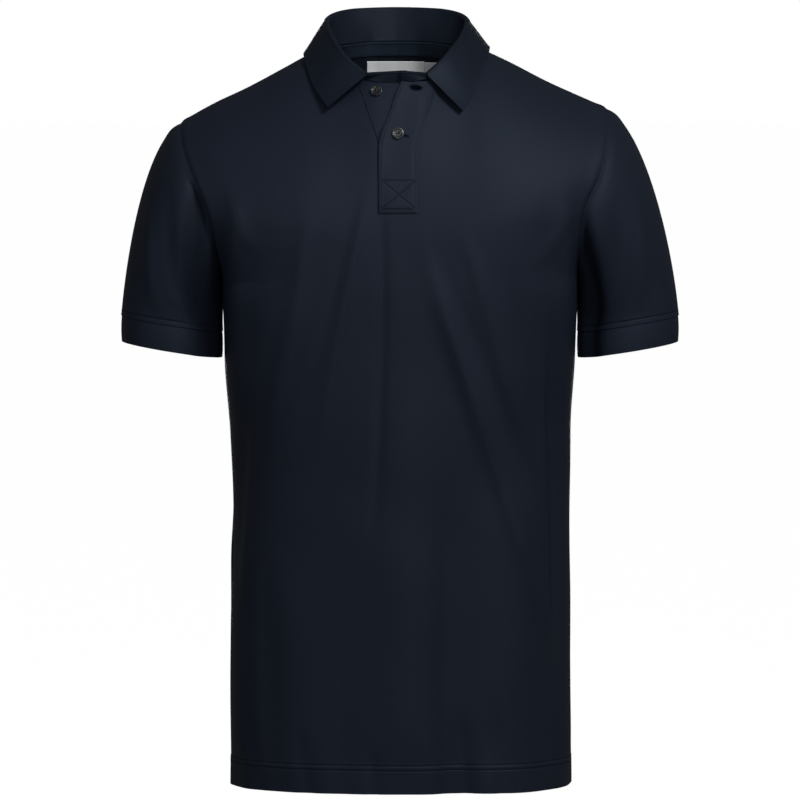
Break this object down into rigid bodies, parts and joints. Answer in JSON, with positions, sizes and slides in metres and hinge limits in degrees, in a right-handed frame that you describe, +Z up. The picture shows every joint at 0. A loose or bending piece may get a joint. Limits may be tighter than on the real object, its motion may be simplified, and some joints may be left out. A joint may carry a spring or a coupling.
{
  "type": "polo shirt",
  "caption": "Short-sleeved knit polo shirt in its worn form, hollow, with a fold-over collar and a placket whose top is undone.",
  "frame": {"origin": "in the neck, midway between the upper ends of the two shoulder seams, at the height where the wearer's neck holds the shirt", "axes": "+Z up along the wearer's body, -Y out of the chest, +X towards the wearer's left"},
  "size_m": [0.557, 0.2578, 0.7754],
  "materials": {
    "pique": "matt dark navy cotton pique knit",
    "rib": "matt dark navy flat rib knit",
    "tape": "dark navy herringbone tape",
    "satin": "off-white woven satin, blank",
    "resin": "glossy dark resin"
  },
  "bodies": {
    "root": {"front": "pique", "back": "pique", "sleeve_right": "pique", "sleeve_left": "pique", "cuff_right": "pique", "cuff_left": "pique", "collar": "rib", "placket_top": "pique", "placket_under": "pique", "neck_tape": "tape", "label": "satin", "size_tab": "satin", "button_upper": "resin", "button_lower": "resin"}
  },
  "joints": []
}
